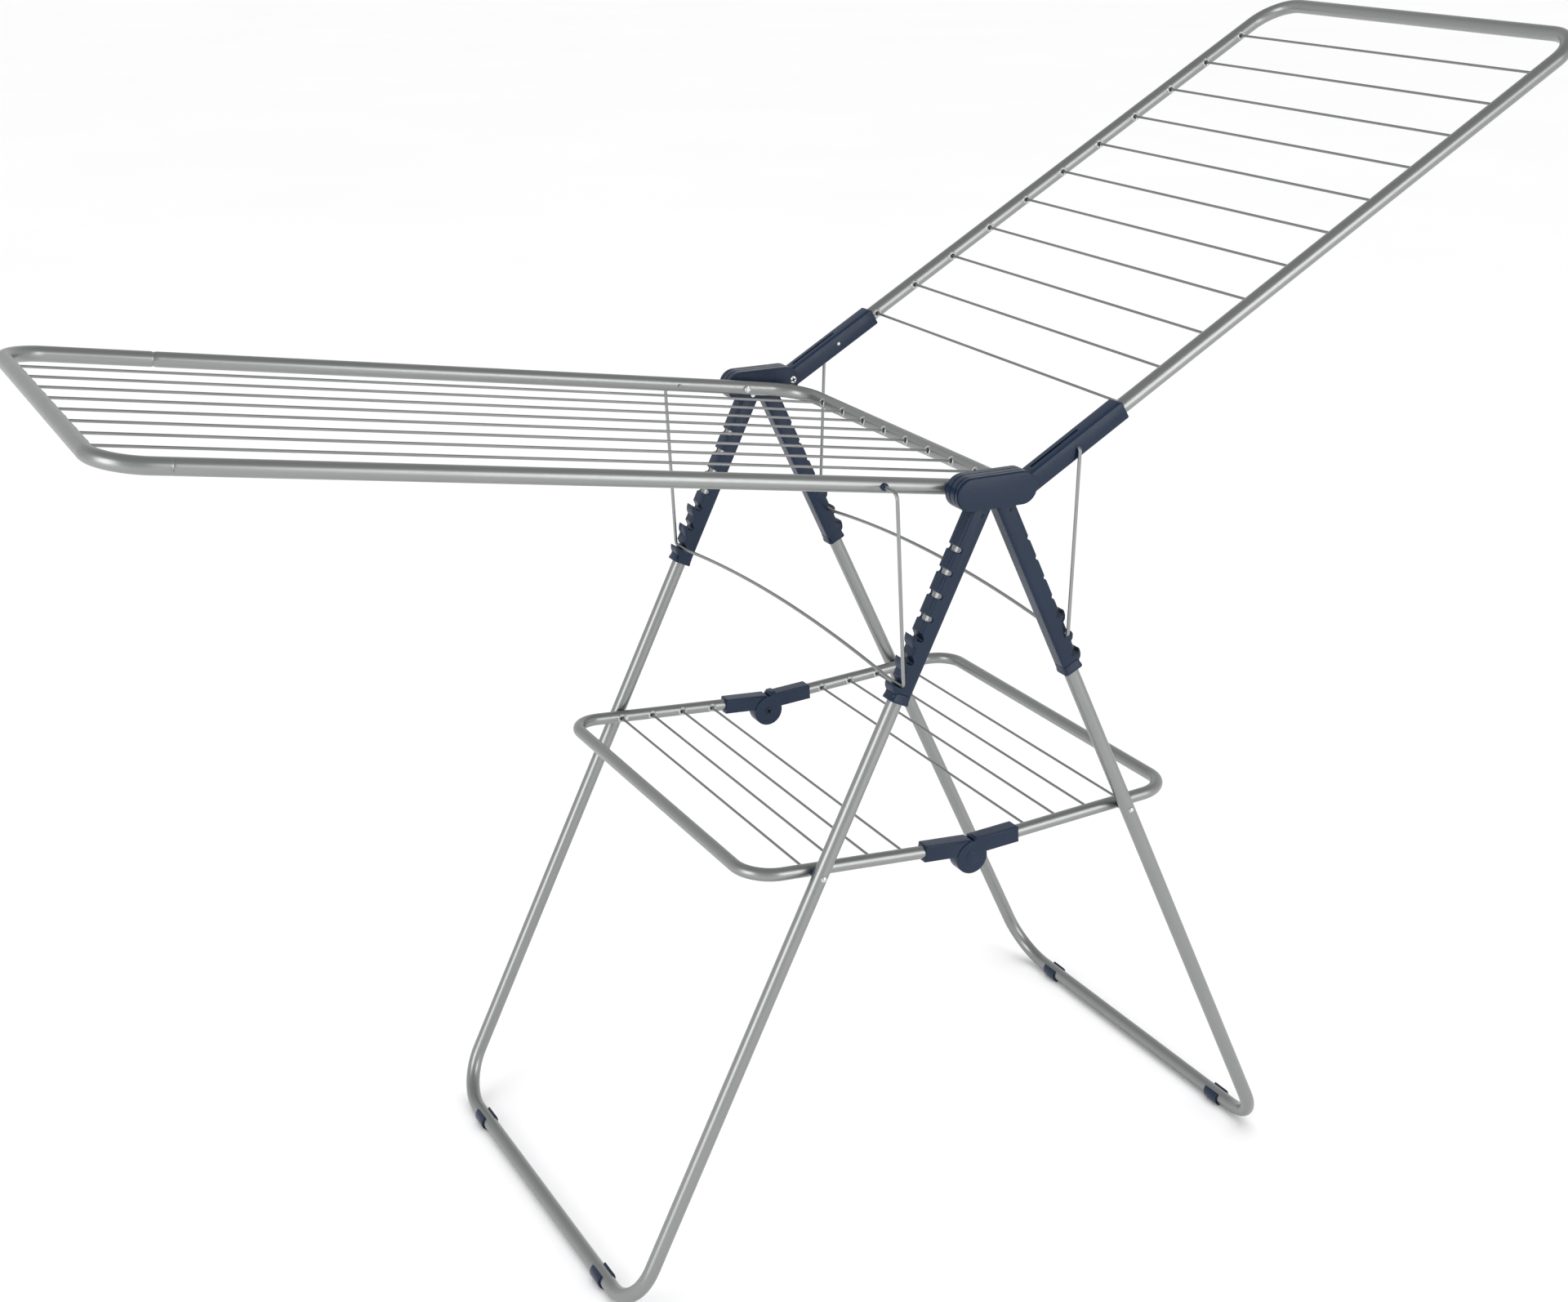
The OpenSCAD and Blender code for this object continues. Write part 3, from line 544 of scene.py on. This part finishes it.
# ---------------------------------------------------------------- props
def prop(name, body, hook, foot, reach, top):
    """A bent wire from its hooked ends in the wing's rails, down both sides, to a bowed bar in the seats.

    hook and foot are the middles of the two ends, reach is where the wire enters a rail, and top is the
    radius of the bend beside it.
    """
    b = Build()
    length = (foot - hook).length * 1000
    down = (foot - hook).normalized()
    side_y, low, bow, end, ease = 300.3, 5.0, 14.5, 272.0, 120.0
    turn = 2 * math.atan(bow / end)
    big = end / math.sin(turn) - ease
    quarter = [math.pi / 2 * k / 10 for k in range(11)]
    turns = [turn * k / 4 for k in range(5)]
    half = [(reach, 0), (reach + 0.4, 0)]
    half += [(side_y - top + top * math.sin(a), top - top * math.cos(a)) for a in quarter]
    half += [(side_y, length / 2)]
    half += [(side_y - low + low * math.cos(a), length - low + low * math.sin(a)) for a in quarter]
    half += [(end - ease * math.sin(a), length - ease * (1 - math.cos(a))) for a in turns]
    for k in range(1, 15):
        y = (end - ease * math.sin(turn)) * (1 - k / 14)
        half.append((y, length - bow + big - math.sqrt(big * big - y * y)))
    pts = [hook + across(-y) + down * (v / 1000) for y, v in half]
    pts += [hook + across(y) + down * (v / 1000) for y, v in reversed(half[:-1])]
    b.sweep(pts, [PROP_R - 0.5] + [PROP_R] * (len(pts) - 2) + [PROP_R - 0.5], 24)
    b.make(name + "_look", [PROP], body, [name])


def seat(s, t):
    return leg(s)(SEAT_OFF, 0, t)


left_hook = wing_left(97, 0, 0)
right_hook = wing_right(71.2, 0, 0)
prop("prop_left", "prop_left", left_hook, seat(-1, LAST), 251.5, 9.0)
prop("prop_right", "prop_right", right_hook, seat(1, LAST - PITCH), 288, 5.0)


def wing_left_grommets():
    b = Build()
    for f in (-1, 1):
        b.turned(left_hook, f, [(271.0, 4.4), (272.6, 4.45), (274.2, 4.3), (275.1, 3.7), (275.4, 3.0),
                                (275.2, 2.3)], 28)
    b.make("wing_left_grommets_look", [NAVY], "wing_left", ["wing_left_grommets"])


wing_left_grommets()


# ---------------------------------------------------------------- right wing
def wing_right_frame():
    stations = [WR_FIRST + WR_PITCH * i for i in range(WR_WIRES)]
    b = Build()
    b.sweep(u_path(wing_right, 60, 60, WR_OUT, LEG_HALF, WR_BEND), TUBE_R, 40)
    for s in stations:
        for f in (-1, 1):
            eyelet(b, wing_right(s, f * LEG_HALF, 0), Vector((0, -f, 0)),
                   wing_right(1, 0, 0) - wing_right(0, 0, 0), TUBE_R)
    b.make("wing_right_tube_look", [TUBE, PAINTED_SHADE, ZINC], "wing_right", ["wing_right_tube"])
    b = Build()
    for s in stations:
        b.wire(wing_right(s, -LEG_HALF + 6, 0), wing_right(s, LEG_HALF - 6, 0))
    b.make("wing_right_wires_look", [WIRE], "wing_right", ["wing_right_wires"])


def arm_outline(depth):
    """Side view of an arm, with its upper edge lowered by depth along the groove."""
    top = ARM_R - depth
    o = [(ARM_R * math.cos(a), ARM_R * math.sin(a)) for a in (math.pi * (0.5 + k / 20) for k in range(21))]
    o += [(ARM_END - 1.8, -ARM_R), (ARM_END, -10.4), (ARM_END, 8.8), (ARM_END - 3.2, ARM_R)]
    o += [(84, ARM_R), (84, ARM_R - depth * 0.55), (60, ARM_R - depth * 0.55), (60, top), (14, top)]
    return o + [(14, ARM_R)]


def arm_shrink(o, d):
    out = []
    for u, v in o:
        if u < 0:
            k = (ARM_R - d) / ARM_R
            out.append((u * k, v * k))
        else:
            out.append((min(u, ARM_END - d * 0.45), max(-ARM_R + d, min(ARM_R - d, v))))
    return out


def wing_right_arm(f, word):
    b = Build()
    flat, cut = arm_outline(0), arm_outline(2.2)
    stack(b, lambda u, y, v: wing_right(u, f * LEG_HALF + y, v), flat, -ARM_HALF, ARM_HALF, 3.0, 3.0,
          arm_shrink, extra=[(-2.02, flat), (-2.0, cut), (2.0, cut), (2.02, flat)])
    b.make("wing_right_arm_%s_look" % word, [NAVY], "wing_right", ["wing_right_arm_" + word], angle=32)


wing_right_frame()
wing_right_arm(-1, "near")
wing_right_arm(1, "far")


# ---------------------------------------------------------------- lower shelf
def shelf_half(side, word):
    pl = shelf(side)
    stations = [(SH_FIRST + SH_PITCH * i) / math.cos(SH_A) for i in range(SH_WIRES)]
    b = Build()
    b.sweep(u_path(pl, 50, 50, SH_OUT, SH_HALF, SH_BEND), SHELF_R, 36)
    for s in stations:
        for f in (-1, 1):
            eyelet(b, pl(s, f * SH_HALF, 0), Vector((0, -f, 0)), pl(1, 0, 0) - pl(0, 0, 0), SHELF_R)
    b.make("shelf_%s_tube_look" % word, [TUBE, PAINTED_SHADE, ZINC], "shelf_" + word, ["shelf_%s_tube" % word])
    b = Build()
    for s in stations:
        b.wire(pl(s, -SH_HALF + 5, 0), pl(s, SH_HALF - 5, 0))
    b.make("shelf_%s_wires_look" % word, [WIRE], "shelf_" + word, ["shelf_%s_wires" % word])


shelf_half(-1, "left")
shelf_half(1, "right")


def on_circle(r, n):
    """Where a circle round the knuckle's pin crosses the height n."""
    return PIN_S + math.sqrt(r * r - (n - PIN_N) ** 2)


def knuckle_outlines():
    """Side views of a knuckle half: cut hollow round the other half's disc, and with a disc of its own."""
    bar = [(3, KN_TOP), (KN_END - 1.2, KN_TOP), (KN_END, KN_TOP - 1.2)]
    top = PIN_N + math.sqrt(KN_HOLLOW ** 2 - (3 - PIN_S) ** 2)
    a0 = math.degrees(math.atan2(-KN_TOP - PIN_N, on_circle(KN_HOLLOW, -KN_TOP) - PIN_S))
    a1 = math.degrees(math.atan2(top - PIN_N, 3 - PIN_S))
    b0 = math.degrees(math.atan2(-KN_TOP - PIN_N, on_circle(KN_DISC, -KN_TOP) - PIN_S))
    hollow = [(KN_END, -KN_TOP)] + arc(PIN_S, PIN_N, KN_HOLLOW, a0, a1, 16) + bar
    disc = [(KN_END, -KN_TOP)] + arc(PIN_S, PIN_N, KN_DISC, b0, a1 - 360, 48) + bar
    return hollow, disc


def knuckle(side, f, name):
    """The right half is a fork with two discs, the left half has one disc between them."""
    pl = shelf(side)
    hollow, disc = knuckle_outlines()
    b = Build()
    here = lambda u, y, v: pl(u, f * KN_Y + f * y, v)
    if side > 0:
        outer, inner, slot = disc, hollow, 4.15
    else:
        outer, inner, slot = hollow, disc, 3.85
    stack(b, here, outer, -KN_HALF, -slot, KN_EDGE, 0, inset)
    stack(b, here, inner, -slot, slot, 0, 0, inset)
    stack(b, here, outer, slot, KN_HALF, 0, KN_EDGE, inset)
    if side > 0:
        boss = [(5, KN_TOP - 1), (14, KN_TOP - 1), (13.2, KN_TOP + 1.7), (5.8, KN_TOP + 1.7)]
        stack(b, here, boss, -5, KN_HALF, 0.8, 0.8, inset)
    b.make(name + "_look", [NAVY], "shelf_left" if side < 0 else "shelf_right", [name], angle=32)


for f, g in ((-1, "near"), (1, "far")):
    knuckle(-1, f, "knuckle_left_" + g)
    knuckle(1, f, "knuckle_right_" + g)


def knuckle_caps():
    b = Build()
    for f in (-1, 1):
        b.turned(shelf(1)(PIN_S, 0, PIN_N), f, [(273.6, 9.6), (273.95, 9.6), (274.0, 8.9), (274.7, 8.3),
                                                (274.8, 8.0), (274.8, 0.2)], 40)
    b.make("knuckle_caps_look", [NAVY], "shelf_right", ["knuckle_caps"])


knuckle_caps()

# ---------------------------------------------------------------- screw heads
screw_heads("wing_left_bolt_heads", ZINC, "hubs", P(WL_X, 0, WL_Z), y=251.4, r=4.6, rise=0.8, turn=0.5)
screw_heads("wing_right_pin_heads", ZINC, "hubs", P(WR_X, 0, WR_Z), y=272.1, r=4.6, rise=0.5, turn=0.3)
screw_heads("knuckle_pin_heads", NAVY, "shelf_right", shelf(1)(PIN_S, 0, PIN_N),
            y=253.5, r=5.2, rise=0.5, turn=0.35)

# ---------------------------------------------------------------- camera
YAW, TILT, ROLL = math.radians(27.3266), math.radians(-20.0171), math.radians(0.0523)
SENSOR, LENS = 36, 52.5335625
forward = Vector((math.sin(YAW) * math.cos(TILT), math.cos(YAW) * math.cos(TILT), math.sin(TILT)))
right = Vector((math.cos(YAW), -math.sin(YAW), 0))
up = right.cross(forward)
rolled_right = right * math.cos(ROLL) + up * math.sin(ROLL)
rolled_up = -right * math.sin(ROLL) + up * math.cos(ROLL)
cam_data = bpy.data.cameras.new("camera")
cam_data.sensor_width = SENSOR
cam_data.lens = LENS
cam_data.clip_end = 100
cam = bpy.data.objects.new("camera", cam_data)
bpy.context.scene.collection.objects.link(cam)
m = Matrix((rolled_right, rolled_up, -forward)).transposed().to_4x4()
m.translation = P(-1318.827, -2342.957, 1641.215)
cam.matrix_world = m
bpy.context.scene.camera = cam

# ---------------------------------------------------------------- floor
FLOOR = 40  # half its side, in metres
fm = bpy.data.meshes.new("floor")
fm.from_pydata([(-FLOOR, -FLOOR, 0), (FLOOR, -FLOOR, 0), (FLOOR, FLOOR, 0), (-FLOOR, FLOOR, 0)],
               [], [(0, 1, 2, 3)])
floor = bpy.data.objects.new("floor", fm)
bpy.context.scene.collection.objects.link(floor)
mat, n, l, bs = tree("floor")
patches = noise(n, l, 0.8)
tone = ramp(n, l, patches.outputs["Fac"], (0.86, 0.86, 0.865, 1), (0.875, 0.875, 0.88, 1))
l.new(tone.outputs["Color"], bs.inputs["Base Color"])
bs.inputs["Roughness"].default_value = 0.9
bs.inputs["Specular IOR Level"].default_value = 0.1
fm.materials.append(mat)

# ---------------------------------------------------------------- light
# The surroundings are lightest at the horizon and darker overhead.
world = bpy.data.worlds.new("studio")
bpy.context.scene.world = world
world.use_nodes = True
wn, wl = world.node_tree.nodes, world.node_tree.links
bg = wn["Background"]
tc = wn.new("ShaderNodeTexCoord")
sep = wn.new("ShaderNodeSeparateXYZ")
wl.new(tc.outputs["Generated"], sep.inputs[0])
wr = wn.new("ShaderNodeValToRGB")
wl.new(sep.outputs["Z"], wr.inputs["Fac"])
cr = wr.color_ramp
cr.elements[0].position = 0.0
cr.elements[0].color = (0.80, 0.80, 0.81, 1)
cr.elements[1].position = 1.0
cr.elements[1].color = (0.46, 0.46, 0.465, 1)
for p, v in ((0.30, 0.85), (0.62, 0.62), (0.80, 0.48)):
    e = cr.elements.new(p)
    e.color = (v, v, v * 1.01, 1)
wl.new(wr.outputs["Color"], bg.inputs["Color"])
bg.inputs["Strength"].default_value = 1.0


def panel(name, azimuth, distance, height, width, tall, power):
    """A softbox standing around the rack, turned by azimuth from the camera's side."""
    a = YAW + math.radians(azimuth)
    d = bpy.data.lights.new(name, "AREA")
    d.shape = "RECTANGLE"
    d.size, d.size_y, d.energy = width, tall, power
    o = bpy.data.objects.new(name, d)
    bpy.context.scene.collection.objects.link(o)
    o.location = (-math.sin(a) * distance, -math.cos(a) * distance, height)
    o.rotation_euler = (Vector((0, 0, 1.1)) - o.location).to_track_quat("-Z", "Y").to_euler()


panel("softbox_left", azimuth=46, distance=4.6, height=1.95, width=2.4, tall=3.3, power=80)
panel("softbox_right", azimuth=-52, distance=4.6, height=1.95, width=2.2, tall=3.3, power=66)
sky = bpy.data.lights.new("top_fill", "SUN")
sky.energy = 1.7
sky.angle = math.radians(70)
top_fill = bpy.data.objects.new("top_fill", sky)
bpy.context.scene.collection.objects.link(top_fill)
top_fill.visible_glossy = False
bpy.context.scene.view_settings.view_transform = "Standard"
